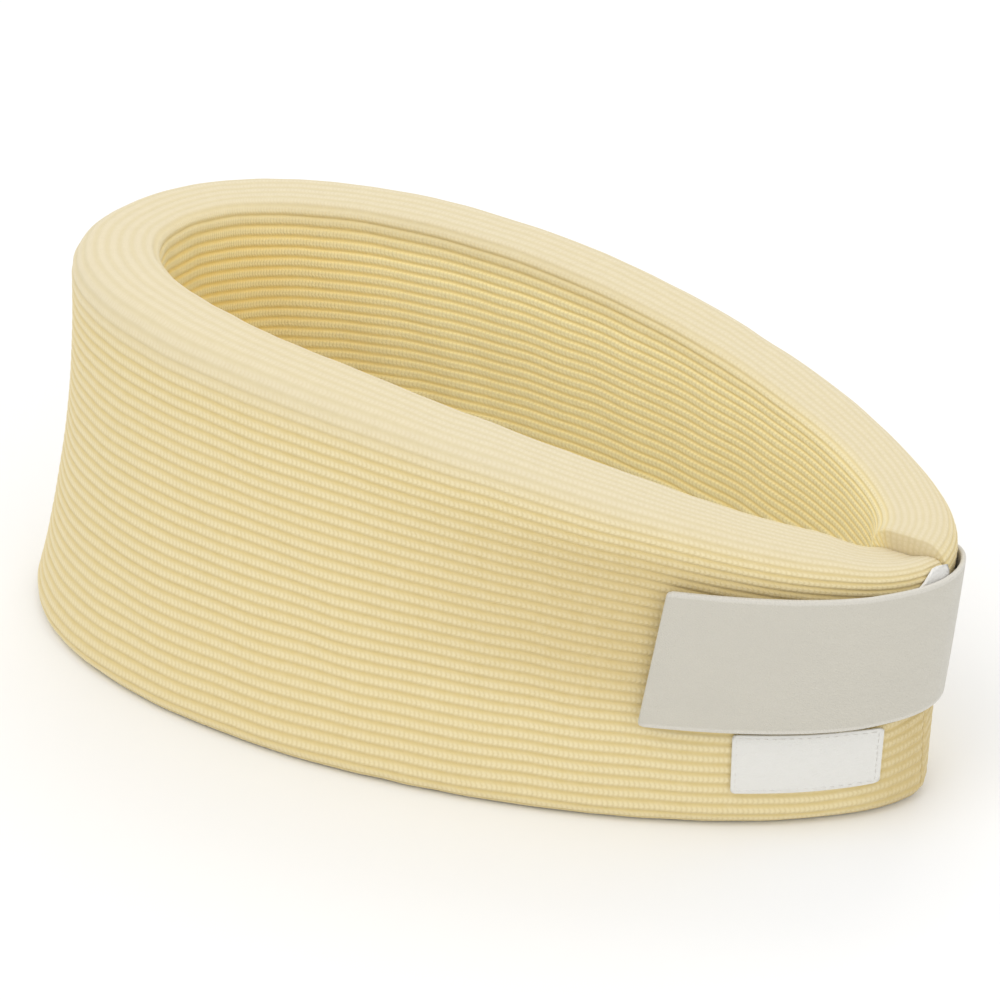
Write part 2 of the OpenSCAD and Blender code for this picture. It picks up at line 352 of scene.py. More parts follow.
def knit_material():
    m = Nodes("rib_knit")
    u, v = m.uv("cloth")                      # u millimetres along the rib, v ribs round the section
    phi = m.math("FRACT", v)
    x = m.math("ABSOLUTE", m.math("SUBTRACT", m.math("MULTIPLY", phi, 2.0), 1.0))   # 0 crest, 1 groove
    place_ = m.vec(m.math("MULTIPLY", u, 0.05), m.math("MULTIPLY", v, 0.6))
    drift = m.math("MULTIPLY", m.noise(place_, 1.0, 2.0), 1.2)
    course = m.math("ADD", m.math("ADD", m.math("DIVIDE", u, STITCH), m.math("MULTIPLY", x, 0.42)), drift)
    wave = m.math("ABSOLUTE", m.math("SINE", m.math("MULTIPLY", course, math.pi)))   # 0 between loops, 1 on a loop
    loop = m.math("POWER", wave, 0.65)
    # the two legs of each loop stand beside the rib's middle
    leg = m.math("SUBTRACT", 1.0, m.math("POWER", m.math("ABSOLUTE", m.math("DIVIDE", m.math("SUBTRACT", x, 0.30), 0.45)), 2.0))
    leg = m.math("MAXIMUM", leg, 0.0)
    cell = m.math("MULTIPLY", loop, leg)
    fibre = m.noise(m.vec(m.math("MULTIPLY", u, 2.2), m.math("MULTIPLY", v, 16.0)), 1.0, 3.0, 0.6)
    fuzz = m.noise(m.vec(m.math("MULTIPLY", u, 0.9), m.math("MULTIPLY", v, 3.0), 3.7), 1.0, 2.0, 0.6)
    # how far a place is from the top edge's middle, and whether it is on the inner wall
    share = m.math("DIVIDE", v, float(RIBS))
    off_top = m.math("ABSOLUTE", m.math("SUBTRACT", share, 0.493))
    top_highlight_and_stretch = m.remap(off_top, 0.035, 0.092, 1.0, 0.0, True)          # the stretched top edge: painted highlight, paler where the light falls on it; its ribs also lie flatter
    inner = m.math("MULTIPLY", m.remap(share, 0.532, 0.598, 0.0, 1.0, True), m.remap(share, 0.93, 0.98, 1.0, 0.0, True))
    calm = m.math("SUBTRACT", 1.0, m.math("MULTIPLY", top_highlight_and_stretch, 0.55))
    bump = m.math("ADD", m.math("MULTIPLY", m.math("MULTIPLY", cell, calm), 0.12),
                  m.math("ADD", m.math("MULTIPLY", fibre, 0.06), m.math("MULTIPLY", fuzz, 0.05)))
    normal = m.bump(bump, 1.0)
    # the top edge is painted paler and greyer: a painted highlight standing in for the light on it
    crest = m.mix(top_highlight_and_stretch, rgb(231, 216, 171), rgb(223, 211, 181))
    groove = m.mix(top_highlight_and_stretch, rgb(216, 196, 139), rgb(217, 204, 168))
    # the inner wall is painted lighter: painted light standing in for the light that fills the inside of the ring
    crest = m.mix(inner, crest, rgb(255, 248, 208))
    groove = m.mix(inner, groove, rgb(254, 236, 172))
    # inside, round the back, the knit is painted a deeper yellow: painted shade and yellow light bounced round the
    # inside of the ring
    back_bounce_shade = m.math("MULTIPLY", m.remap(m.math("ABSOLUTE", m.math("SUBTRACT", u, HALF)), 40.0, 125.0, 0.8, 0.0, True), inner)
    crest = m.mix(back_bounce_shade, crest, rgb(250, 230, 168))
    groove = m.mix(back_bounce_shade, groove, rgb(240, 208, 122))
    # painted shade: the knit is painted darker towards the grooves between the ribs
    groove_shade = m.remap(x, 0.18, 0.92, 0.0, 1.0, True)
    col = m.mix(groove_shade, crest, groove)
    outer = m.remap(share, 0.36, 0.42, 1.0, 0.0, True)
    # painted shade: darker on the wall above and beside the tape, and on the nose
    front_wall_shade = m.math("MULTIPLY", m.remap(u, 2 * HALF - 170.0, 2 * HALF - 60.0, 0.0, 0.75, True), m.remap(share, 0.14, 0.24, 0.0, 1.0, True))
    nose = m.math("ADD", m.remap(u, 2 * HALF - 40.0, 2 * HALF - 14.0, 0.0, 0.8, True), m.remap(u, 14.0, 40.0, 0.8, 0.0, True))
    col = m.mix(m.math("MULTIPLY", m.math("MAXIMUM", front_wall_shade, nose), outer), col, rgb(197, 175, 120))
    # painted highlights on the stitch loops along each crest, painted shade between them
    bead_highlight = m.math("MULTIPLY", m.math("POWER", wave, 1.6), m.remap(x, 0.05, 0.62, 1.0, 0.0, True))
    loop_gap_shade = m.math("MULTIPLY", m.math("SUBTRACT", 1.0, wave), m.remap(x, 0.2, 0.8, 1.0, 0.2, True))
    col = m.mix(m.math("MULTIPLY", m.math("MULTIPLY", bead_highlight, calm), 0.20), col, rgb(243, 231, 196))
    col = m.mix(m.math("MULTIPLY", m.math("MULTIPLY", loop_gap_shade, calm), 0.38), col, rgb(208, 186, 130))
    big = m.noise(m.vec(m.math("MULTIPLY", u, 0.012), m.math("MULTIPLY", v, 0.09), 1.3), 1.0, 3.0, 0.55)
    col = m.mix(m.remap(big, 0.3, 0.7, 0.0, 0.14), col, rgb(223, 201, 145))
    spot = m.noise(m.vec(m.math("MULTIPLY", u, 0.35), m.math("MULTIPLY", v, 1.0), 9.1), 1.0, 2.0, 0.5)
    col = m.mix(m.remap(spot, 0.35, 0.75, 0.0, 0.10), col, rgb(243, 232, 200))
    return m.surface(col, normal, rough=m.remap(fibre, 0.2, 0.8, 0.72, 0.95), sheen=0.30, sheen_rough=0.45,
                     tint=rgb(255, 250, 236), spec=0.2)


def foam_material():
    m = Nodes("soft_foam")
    where = m.where()
    cells = m.add("ShaderNodeTexVoronoi", feature="SMOOTH_F1")
    m.put(cells.inputs["Vector"], where)
    m.put(cells.inputs["Scale"], 1400.0)
    pores = m.remap(cells.outputs["Distance"], 0.1, 0.7, 0.0, 1.0)
    tone = m.noise(where, 60.0, 3.0)
    col = m.mix(m.math("MULTIPLY", m.math("SUBTRACT", 1.0, pores), 0.4), rgb(240, 230, 196), rgb(196, 176, 118))
    col = m.mix(m.remap(tone, 0.3, 0.7, 0.0, 0.25), col, rgb(228, 212, 160))
    return m.surface(col, m.bump(m.math("MULTIPLY", pores, 0.25)), rough=0.95, sheen=0.05, spec=0.2)


def tape_material():
    m = Nodes("closure_tape")
    u, v = m.uv("cloth")                      # millimetres along and across
    nap = m.noise(m.vec(u, v), 3.2, 4.0, 0.65)
    weave = m.math("MULTIPLY", m.math("SINE", m.math("MULTIPLY", u, 2 * math.pi / 0.9)),
                   m.math("SINE", m.math("MULTIPLY", v, 2 * math.pi / 0.7)))
    edge = m.math("ABSOLUTE", m.math("SUBTRACT", m.math("DIVIDE", v, STRAP_W / 2), 1.0))
    selv = m.remap(edge, 0.925, 0.955, 0.0, 1.0, True)
    bump = m.math("ADD", m.math("MULTIPLY", nap, 0.16), m.math("MULTIPLY", weave, 0.016))
    rows = m.math("ABSOLUTE", m.math("SINE", m.math("MULTIPLY", u, math.pi / 0.8)))
    bump = m.math("ADD", bump, m.math("MULTIPLY", m.math("MULTIPLY", rows, selv), 0.07))
    tone = m.noise(m.vec(m.math("MULTIPLY", u, 0.05), m.math("MULTIPLY", v, 0.09), 2.0), 1.0, 3.0, 0.6)
    col = m.mix(m.remap(nap, 0.25, 0.75, 0.0, 1.0), rgb(196, 192, 180), rgb(208, 204, 192))
    col = m.mix(m.remap(tone, 0.3, 0.7, 0.0, 0.30), col, rgb(195, 191, 180))
    col = m.mix(m.math("MULTIPLY", selv, 0.45), col, rgb(224, 220, 212))
    return m.surface(col, m.bump(bump), rough=m.remap(nap, 0.2, 0.8, 0.6, 0.85), sheen=0.35, sheen_rough=0.35, spec=0.25)


def hook_material():
    m = Nodes("hook_plastic")
    where = m.where()
    n = m.noise(where, 900.0, 2.0)
    col = m.mix(n, rgb(196, 190, 176), rgb(214, 209, 197))
    return m.surface(col, m.bump(m.math("MULTIPLY", n, 0.03)), rough=m.remap(n, 0.2, 0.8, 0.35, 0.55), spec=0.45)


def loop_material():
    m = Nodes("brushed_loop")
    u, v = m.uv("cloth")
    curl = m.noise(m.vec(u, v), 1.9, 5.0, 0.75, 1.4)
    fine = m.noise(m.vec(u, v, 4.0), 6.0, 3.0, 0.6, 0.6)
    height_ = m.math("ADD", m.math("MULTIPLY", curl, 0.5), m.math("MULTIPLY", fine, 0.15))
    col = m.mix(m.remap(curl, 0.3, 0.7, 0.0, 1.0), rgb(236, 233, 226), rgb(250, 249, 245))
    return m.surface(col, m.bump(height_), rough=0.9, sheen=0.5, sheen_rough=0.3, spec=0.2)


def label_material():
    m = Nodes("woven_label")
    u, v = m.uv("cloth")
    warp = m.math("ABSOLUTE", m.math("SINE", m.math("MULTIPLY", v, math.pi / 0.32)))
    step = m.math("ADD", m.math("DIVIDE", u, 1.1), m.math("MULTIPLY", m.math("FLOOR", m.math("DIVIDE", v, 0.32)), 0.375))
    weft = m.math("ABSOLUTE", m.math("SINE", m.math("MULTIPLY", step, math.pi)))
    n = m.noise(m.vec(u, v), 1.4, 3.0, 0.6)
    bump = m.math("ADD", m.math("MULTIPLY", m.math("MULTIPLY", warp, m.math("POWER", weft, 0.4)), 0.05), m.math("MULTIPLY", n, 0.05))
    col = m.mix(m.math("MULTIPLY", warp, 0.55), rgb(221, 220, 214), rgb(239, 238, 235))
    col = m.mix(m.remap(n, 0.3, 0.7, 0.0, 0.2), col, rgb(225, 222, 213))
    return m.surface(col, m.bump(bump), rough=m.remap(weft, 0.0, 1.0, 0.6, 0.45), sheen=0.15, spec=0.35)


def thread_material(name, light, dark):
    m = Nodes(name)
    u, v = m.uv("cloth")                      # u along the stitch in millimetres, v round it 0..1
    ply = m.math("ABSOLUTE", m.math("SINE", m.math("MULTIPLY", m.math("ADD", m.math("DIVIDE", u, 0.9), v), 2 * math.pi)))
    n = m.noise(m.vec(m.math("MULTIPLY", u, 3.0), m.math("MULTIPLY", v, 8.0)), 1.0, 2.0)
    col = m.mix(ply, dark, light)
    bump = m.math("ADD", m.math("MULTIPLY", ply, 0.06), m.math("MULTIPLY", n, 0.02))
    return m.surface(col, m.bump(bump), rough=m.remap(n, 0.2, 0.8, 0.45, 0.65), sheen=0.2, spec=0.4)


KNIT, FOAM, TAPE = knit_material(), foam_material(), tape_material()
HOOK, LOOP, LABEL = hook_material(), loop_material(), label_material()
THREAD = thread_material("cream_thread", rgb(236, 224, 188), rgb(202, 184, 136))
WHITE_THREAD = thread_material("white_thread", rgb(242, 240, 235), rgb(206, 202, 192))
GREY_THREAD = thread_material("grey_thread", rgb(222, 218, 208), rgb(178, 172, 158))


# ---------------------------------------------------------------- knitted cover
PER_RIB = [0.0, 0.085, 0.24, 0.415, 0.585, 0.76, 0.915]
NV = RIBS * len(PER_RIB)
FRACS = np.array([(k + p) / RIBS for k in range(RIBS) for p in PER_RIB])
X = np.abs(2 * np.tile(PER_RIB, RIBS) - 1)
CREST = np.cos(np.pi / 2 * X ** 1.15)


def ring_on(side, d, fr, crest=None, inset=0.0, ribbed=1.0):
    """Points of one section at the fractions fr of the way round, with ribs if crest is given."""
    p, a, s = section(d, inset)
    total = s[-1]
    q = d if side == FAR else 2 * HALF - d
    rib = np.floor(fr * RIBS + 1e-6).astype(int) % RIBS
    ease = 1.0 / (1.0 + inset * 0.5)
    front = float(fwd(d))
    # towards the front the lower ribs are stretched wide and the upper ones lie close
    f = fr + 0.26 * front ** 2.5 * np.sin(2 * np.pi * fr) / (2 * np.pi)
    if crest is not None:
        # beside the closure the lower ribs run up towards the nose, and smoothly on round it
        rise = 5.0 * math.exp(-((side * d - 8) / 16) ** 2) * np.sin(np.pi * np.clip(fr / 0.36, 0, 1))
        f = f * total + SWAY(q, fr) * 0.13 * ease * min(1.0, d / 14) + rise
    else:
        f = f * total
    f = f % total
    w, z = np.interp(f, s, p[:, 0]), np.interp(f, s, p[:, 1])
    way = np.interp(f, s, a)
    lift = np.zeros_like(f)
    if crest is not None:
        # the ribs nearly vanish where the cover is stretched over the top edge
        top = np.clip((np.sin(way) - 0.25) / 0.6, 0, 1)
        inside = np.clip((fr - 0.56) / 0.05, 0, 1) * np.clip((0.97 - fr) / 0.05, 0, 1)
        depth = 0.15 * total / RIBS * (1 + 0.08 * RIB_SIZE[rib]) * (1 - 0.65 * top) * (1 - 0.35 * inside) * ribbed
        lift = -depth * (1 - crest)
        lift = lift + (PUFF(q, fr) * 0.10 + NIP(q, fr) * 0.05 + 0.42 * settled(q, fr)) * ease * min(1.0, d / 14) - 0.12 * ease
    w, z = w + np.cos(way) * lift, z + np.sin(way) * lift
    return arm_place(side, np.full_like(w, d), w, np.maximum(z, 0.02)), total


def end_steps():
    """From the body round the corner and over the flat end into the slit: (distance, inset, share of the ribs)."""
    out = []
    for a in (14, 28, 42, 55, 67, 79, 90):
        a = math.radians(a)
        out.append((END + R_END * (1 - math.sin(a)), R_END * (1 - math.cos(a)), 1.0 - 0.1 * (1 - math.cos(a))))
    for inset, rise, ribbed in ((3.6, 0.0, 0.8), (4.8, 0.02, 0.7), (6.0, 0.06, 0.6), (7.2, 0.16, 0.5), (8.2, 0.36, 0.4), (9.0, 0.8, 0.3)):
        out.append((END + rise, inset, ribbed))
    out += [(END + 1.5, 9.3, 0.2), (END + 2.6, 9.35, 0.2)]
    return out


# ---------------------------------------------------------------- cloth run
def settle():
    """The cover as cloth: a coarse skin drawn over the foam, blown out a little from inside while it is held
    down under the tape, the label, at the base and at the two closed ends. Gives how far each place moved
    along its own outward direction, less the average, never more than 1.2 mm."""
    rows, cols = 118, 44
    e = END + R_END + 1.0
    qs = np.linspace(e, 2 * HALF - e, rows)
    fr = np.arange(cols) / cols
    pts, out, hold = [], [], []
    for q in qs:
        side, d = (FAR, q) if q <= HALF else (NEAR, 2 * HALF - q)
        base, _ = ring_on(side, d, fr, None, 0.6)
        tip, _ = ring_on(side, d, fr, None, -0.4)
        way = tip - base
        pts.append(base)
        out.append(way / np.linalg.norm(way, axis=1, keepdims=True))
        z, outer = base[:, 2], (fr > 0.03) & (fr < 0.45)
        w = np.zeros(cols)
        if side == NEAR:
            w = np.where(outer & (d < TAB_END) & (z > STRAP_Z) & (z < STRAP_TOP), 1.0, w)
            w = np.where(outer & (d < 42.0) & (z > 9.0) & (z < 30.0), 1.0, w)
        else:
            w = np.where(outer & (d < ANCHOR_END) & (z > STRAP_Z - STRAP_FALL) & (z < STRAP_TOP - STRAP_FALL), 1.0, w)
        w = np.where(z < 3.0, 1.0, w)
        if d < 5.0:
            w[:] = 1.0
        hold.append(np.maximum(w, 0.3))       # elsewhere the foam under it holds it back softly
    pts, out, hold = np.array(pts), np.array(out), np.array(hold)
    rng = np.random.default_rng(21)
    start = pts + out * (rng.normal(0, 0.06, pts.shape[:2])[..., None] * (1 - hold[..., None]))
    faces = grid_faces(rows, cols)[0].tolist()
    faces.append([j for j in range(cols)][::-1])
    faces.append([(rows - 1) * cols + j for j in range(cols)])
    ob = outward(new_mesh("cover_cloth_run", start.reshape(-1, 3), faces))
    # the run works on a tenfold larger copy, where the solver's lengths are comfortable
    ob.data.transform(Matrix.Scale(10.0, 4))
    group = ob.vertex_groups.new(name="held")
    for i, w in enumerate(hold.ravel()):
        if w > 0:
            group.add([i], float(w), "REPLACE")
    mod = ob.modifiers.new("cloth", "CLOTH")
    c = mod.settings
    c.quality = 6
    c.mass = 0.3
    c.air_damping = 2.0
    c.tension_stiffness = c.compression_stiffness = 15.0
    c.shear_stiffness = 6.0
    c.bending_stiffness = 1.2
    c.use_pressure = True
    c.uniform_pressure_force = 0.6
    c.shrink_min = c.shrink_max = -0.012
    c.vertex_group_mass = "held"
    c.effector_weights.gravity = 0.0
    mod.point_cache.frame_start, mod.point_cache.frame_end = 1, 20
    scene = bpy.context.scene
    first = scene.frame_current
    for f in range(1, 21):
        scene.frame_set(f)
    deps = bpy.context.evaluated_depsgraph_get()
    got = ob.evaluated_get(deps)
    me = got.to_mesh()
    v = np.zeros(len(me.vertices) * 3)
    me.vertices.foreach_get("co", v)
    got.to_mesh_clear()
    v = v.reshape(-1, 3)[:rows * cols].reshape(rows, cols, 3) * 100.0
    scene.frame_set(first)
    data = ob.data
    bpy.data.objects.remove(ob)
    bpy.data.meshes.remove(data)
    moved = ((v - pts) * out).sum(-1)
    free = hold < 0.5
    print("cloth run: moved %.2f to %.2f mm, mean %.2f" % (moved.min(), moved.max(), moved[free].mean()))
    moved = np.where(free, moved - moved[free].mean(), 0.0)
    moved = np.clip(moved, -1.2, 1.2)
    for _ in range(1):                       # one light smoothing over the grid
        moved = 0.5 * moved + 0.125 * (np.roll(moved, 1, 1) + np.roll(moved, -1, 1)) \
            + 0.125 * (np.vstack([moved[:1], moved[:-1]]) + np.vstack([moved[1:], moved[-1:]]))
    return qs, moved


SETTLED = settle()


def cover(name, q0, q1, spacing, inner_every=2):
    """A stretch of the cover from q0 to q1, where q runs from the first arm's end over the back to the second's."""
    rings = []                                  # (side, d, inset, share of the ribs)
    a, b = q0, q1
    far_end, near_end = q0 <= END, q1 >= 2 * HALF - END
    if far_end:
        rings += [(FAR, *step) for step in reversed(end_steps())]
        a = END + R_END
    tail = []
    if near_end:
        tail = [(NEAR, *step) for step in end_steps()]
        b = 2 * HALF - END - R_END
    n = int(round((b - a) / spacing))
    for k in range(n + 1):
        q = a + (b - a) * k / n
        rings.append((FAR, q, 0.0, 1.0) if q <= HALF else (NEAR, 2 * HALF - q, 0.0, 1.0))
    rings += tail
    outer, us = [], []
    for side, d, inset, ribbed in rings:
        ring, _ = ring_on(side, d, FRACS, CREST, inset, ribbed)
        outer.append(ring)
    outer = np.array(outer)
    # distance along the ribs, for the stitches: measured at the outer face, then fitted to q0..q1, so that two
    # stretches agree where they join
    mid = outer[:, NV // 4]
    us = np.concatenate([[0], np.cumsum(np.linalg.norm(np.diff(mid, axis=0), axis=1))])
    us = q0 + us * (q1 - q0) / us[-1]
    rows = len(outer)
    verts = [outer.reshape(-1, 3)]
    quads, rc = grid_faces(rows, NV)
    vcoord = np.array([k + p for k in range(RIBS) for p in PER_RIB] + [RIBS])
    uv = np.stack([us[rc[..., 0]], vcoord[rc[..., 1]]], -1)
    faces, uvs = quads.tolist(), [uv.reshape(-1, 2)]
    base = rows * NV
    # the inner face of the cloth: one point a rib, every few stations
    body = [k for k, r in enumerate(rings) if r[2] == 0.0]
    picks = sorted(set(body[::inner_every] + [body[-1], body[0]]))
    fi = np.arange(RIBS) / RIBS
    inner = []
    for k in picks:
        side, d = rings[k][:2]
        pts, _ = ring_on(side, d, fi, None, 1.75)
        inner.append(pts)
    inner = np.array(inner)
    iq, irc = grid_faces(len(inner), RIBS, base, flip=True)
    faces += iq.tolist()
    uvs.append(np.stack([us[np.array(picks)[irc[..., 0]]], irc[..., 1]], -1).reshape(-1, 2))
    verts.append(inner.reshape(-1, 3))

    def rim(outer_row, inner_row, flip):
        o0, i0, m = outer_row * NV, base + inner_row * RIBS, len(PER_RIB)
        u = us[outer_row]
        for k in range(RIBS):
            o = [o0 + (k * m + j) % NV for j in range(m + 1)]
            i = [i0 + k, i0 + (k + 1) % RIBS]
            face = o + [i[1], i[0]]
            faces.append(face if flip else face[::-1])
            uvs.append(np.tile([[u, k + 0.5]], (len(face), 1)))

    def cap(row, count, start, flip, where):
        """Closes a flat ring by joining its outer side to its inner side."""
        ids = [start + row * count + j for j in range(count)]
        left, right = ids[:count // 2 + 1], [ids[0]] + ids[:count // 2 - 1:-1]
        for j in range(count // 2):
            face = [left[j], left[j + 1], right[j + 1], right[j]]
            face = [f for n_, f in enumerate(face) if f not in face[:n_]]
            if len(face) > 2:
                faces.append(face[::-1] if flip else face)
                uvs.append(np.tile([[where, 0.5]], (len(face), 1)))

    if far_end:
        cap(0, NV, 0, False, us[0])
        cap(0, RIBS, base, True, us[0])
    else:
        rim(0, 0, True)
    if near_end:
        cap(rows - 1, NV, 0, True, us[-1])
        cap(len(inner) - 1, RIBS, base, False, us[-1])
    else:
        rim(rows - 1, len(inner) - 1, False)
    ob = new_mesh(name, np.concatenate(verts), faces, np.concatenate(uvs))
    # crisp turn where the rim meets the skins, so that shading runs on across the join
    me = ob.data
    sharp = np.zeros(len(me.edges), bool)
    rim_poly = np.zeros(len(me.polygons), bool)
    sizes = np.array([len(p.vertices) for p in me.polygons])
    rim_poly[sizes > 4] = True
    edge_of = {}
    for p in me.polygons:
        if rim_poly[p.index]:
            for key in p.edge_keys:
                edge_of[key] = True
    for e in me.edges:
        if tuple(sorted(e.vertices)) in edge_of:
            sharp[e.index] = True
    layer = me.attributes.new("sharp_edge", "BOOLEAN", "EDGE")
    layer.data.foreach_set("value", sharp)
    return outward(ob)


# The blend across the back turns between these two places; the cover is cut where one side is wholly before it.
TILT = math.radians(15)
WAY = np.array([math.sin(TILT), -math.cos(TILT)])


def cut_distance():
    """The place on the first arm whose whole section lies furthest before the blend."""
    best = (1e9, 0.0)
    for d in np.arange(150.0, HALF, 0.5):
        w = np.array([-inner_t(d), T + 0.6, -inner_t(d), T + 0.6])
        z = np.array([0, 0, float(height(d)), float(height(d))])
        p = place(FAR, np.full(4, d), w, z)[:, :2] @ WAY
        best = min(best, (float(p.max()), float(d)))
    return best[1]


CUT = cut_distance()

cover_main = cover("knit_cover", CUT, 2 * HALF - END, 2.6)
cover_arm = cover("knit_cover_first_arm", 0.0, CUT, 2.2)
finish_piece(cover_main, KNIT)
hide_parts("knit_cover_near", "end_tuck_near")
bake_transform(cover_main)
finish_piece(cover_arm, KNIT, "far_half")
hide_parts("knit_cover_far", "end_tuck_far")


# ---------------------------------------------------------------- foam
def foam(name, q0, q1):
    rings = []
    far_end, near_end = q0 <= END, q1 >= 2 * HALF - END
    a = END + 7.0 if far_end else q0
    b = 2 * HALF - END - 7.0 if near_end else q1
    n = int(round((b - a) / 5.0))
    fr = np.arange(64) / 64
    ends = [(-3.4, 2.6), (-3.2, 1.5), (-2.6, 0.6)]
    if far_end:
        rings += [(FAR, a + o, g) for o, g in ends]
    for k in range(n + 1):
        q = a + (b - a) * k / n
        rings.append((FAR, q, 0.0) if q <= HALF else (NEAR, 2 * HALF - q, 0.0))
    if near_end:
        rings += [(NEAR, 2 * HALF - b + o, g) for o, g in ends[::-1]]
    pts = []
    for side, d, g in rings:
        p, _ = ring_on(side, d, fr, None, 2.1 + g)
        q = d if side == FAR else 2 * HALF - d
        p[:, 2] += 0.15 * PUFF(q, fr)
        pts.append(p)
    pts = np.array(pts)
    faces = grid_faces(len(pts), 64)[0].tolist()
    for row, flip in ((0, True), (len(pts) - 1, False)):
        ids = [row * 64 + j for j in range(64)]
        left, right = ids[:33], [ids[0]] + ids[:31:-1]
        for j in range(32):
            face = [left[j], left[j + 1], right[j + 1], right[j]]
            face = [f for n_, f in enumerate(face) if f not in face[:n_]]
            if len(face) > 2:
                faces.append(face[::-1] if flip else face)
    return outward(new_mesh(name, pts.reshape(-1, 3), faces))


foam_main = foam("foam_core", CUT, 2 * HALF - END)
foam_arm = foam("foam_core_first_arm", 0.0, CUT)
finish_piece(foam_main, FOAM)
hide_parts("foam_core_near")
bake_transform(foam_main)
finish_piece(foam_arm, FOAM, "far_half")
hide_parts("foam_core_far")


# ---------------------------------------------------------------- tapes, pads and labels
def band(name, spine, ss, z0, z1, thick, edge=0.45, across=12, skew=None, corner=0.0, ends=(True, True), wavy=0.0):
    """A thin band: spine(s, z, lift) gives its points, s along, z0 to z1 across, lift from 0 to thick.
    skew(k, f) shifts s by the share k along and f across; corner rounds its corners in the plane."""
    r = min(edge, thick / 2 - 0.02)
    prof = []                                    # (f across in mm from z0, lift)
    width = z1 - z0
    for k in range(5):
        a = math.radians(180 + 90 * k / 4)
        prof.append((r + r * math.cos(a), r + r * math.sin(a)))
    prof += [(r + (width - 2 * r) * k / across, 0.0) for k in range(1, across)]
    for k in range(5):
        a = math.radians(270 + 90 * k / 4)
        prof.append((width - r + r * math.cos(a), r + r * math.sin(a)))
    for k in range(5):
        a = math.radians(90 * k / 4)
        prof.append((width - r + r * math.cos(a), thick - r + r * math.sin(a)))
    prof += [(width - r - (width - 2 * r) * k / across, thick) for k in range(1, across)]
    for k in range(5):
        a = math.radians(90 + 90 * k / 4)
        prof.append((r + r * math.cos(a), thick - r + r * math.sin(a)))
    prof = np.array(prof)
    n = len(prof)
    rows, us = [], []
    s_list = list(ss)
    sign = 1 if s_list[-1] > s_list[0] else -1
    stations = []                                # (s, shrink of thickness, shrink of width)
    cuts = [(r * (1 - math.cos(math.radians(a))), math.sin(math.radians(a))) for a in (8, 30, 55, 90)]
    if ends[0]:
        stations += [(s_list[0] + sign * c, k) for c, k in cuts]
        s_list = [s for s in s_list if sign * (s - s_list[0]) > r * 1.4]
    body = list(s_list)
    if ends[1]:
        body = [s for s in body if sign * (s_list[-1] - s) > r * 1.4]
    stations += [(s, 1.0) for s in body]
    if ends[1]:
        stations += [(s_list[-1] - sign * c, k) for c, k in cuts[::-1]]
    first, last = stations[0][0], stations[-1][0]
    for s, k in stations:
        f, lift = prof[:, 0].copy(), prof[:, 1].copy()
        lift = thick / 2 + (lift - thick / 2) * (1.0 if k == 1.0 else max(k, 0.15))
        pull = np.zeros_like(f)
        if corner > 0:                           # corners rounded in the band's own plane
            for at, on in ((first, ends[0]), (last, ends[1])):
                if on:
                    dist = abs(s - at)
                    if dist < corner:
                        pull = np.maximum(pull, corner - math.sqrt(max(0.0, corner ** 2 - (corner - dist) ** 2)))
        z = z0 + np.clip(f, pull, width - pull)
        share = (s - ss[0]) / (ss[-1] - ss[0])
        s_at = s + (skew(share, (z - z0) / width) if skew else 0.0)
        if wavy:
            lift = lift + wavy * np.sin(s * 0.21 + z * 0.13) * np.sin(s * 0.083 + 1.0)
        rows.append(spine(s_at, z, lift))
        us.append(s)
    rows = np.array(rows)
    quads, rc = grid_faces(len(rows), n)
    fz = np.concatenate([prof[:, 0], [prof[0, 0]]])
    uv = np.stack([np.array(us)[rc[..., 0]], fz[rc[..., 1]]], -1).reshape(-1, 2)
    faces, uvs = quads.tolist(), [uv]
    for row in (0, len(rows) - 1):
        # close by strips between the lower and upper faces
        lo = [row * n + j for j in range(2, 2 + across + 5)]
        up = [row * n + j for j in range(2 * 5 + across - 1 + 2 + across + 5 - 1, 2 * 5 + across - 1 + 2 - 1, -1)]
        ids = [row * n + j for j in range(n)]
        m = n // 2
        a_, b_ = ids[:m], ids[::-1][:m]
        for j in range(m - 1):
            face = [a_[j], a_[j + 1], b_[j + 1], b_[j]]
            faces.append(face if row == 0 else face[::-1])
            uvs.append(np.array([[us[row], fz[q % n]] for q in face]))
    ob = new_mesh(name, rows.reshape(-1, 3), faces, np.concatenate(uvs))
    # a crisp turn at the end faces, so that the shading runs on across a join
    last = (len(rows) - 1) * n
    sharp = [(e.vertices[0] < n and e.vertices[1] < n) or (e.vertices[0] >= last and e.vertices[1] >= last) for e in ob.data.edges]
    ob.data.attributes.new("sharp_edge", "BOOLEAN", "EDGE").data.foreach_set("value", sharp)
    return outward(ob)


def on_arm(side, base):
    def spine(s, z, lift):
        return arm_place(side, s, T + base + lift, z)
    return spine


LOOP_T, HOOK_T, PAD_LIFT = 0.9, 0.8, 0.16
LOOP_R = 1.5                     # the pad turns round the arm's end with this radius
HOOK_LIFT = LOOP_T + 0.4
TAB_LIFT = HOOK_LIFT + HOOK_T + 0.15


def strap_lift(u):
    """Lift of the tape above the cover by the signed distance u from the middle of the front, first arm positive."""
    u = np.asarray(u, float)
    f = np.clip((FOLD_D - u) / (2 * FOLD_D), 0, 1)
    return 0.12 + (TAB_LIFT - 0.12) * f ** 1.3 * (1 - 0.25 * f * (1 - f))


def strap_fall(u):
    """The tape slopes down as it goes round the front on to the first arm."""
    u = np.asarray(u, float)
    x = np.clip((u + FOLD_D) / (2 * FOLD_D), 0, 1)
    y = np.clip((u - FOLD_D) / 7, 0, 1)
    return -0.8 * STRAP_FALL * x * x - 0.2 * STRAP_FALL * y * (2 - y)


def strap_spine(u, z, lift):
    u, z, lift = np.broadcast_arrays(np.asarray(u, float), np.asarray(z, float), np.asarray(lift, float))
    side = np.where(u >= 0, 1.0, -1.0)
    p = place(1, np.abs(u), T + strap_lift(u) + lift, z + strap_fall(u))
    p[..., 1] *= side
    return p


def slant(share, f):
    """The free end is cut on a slant: its top edge is shorter."""
    return -share * 3.0 * (1 - 2 * f)


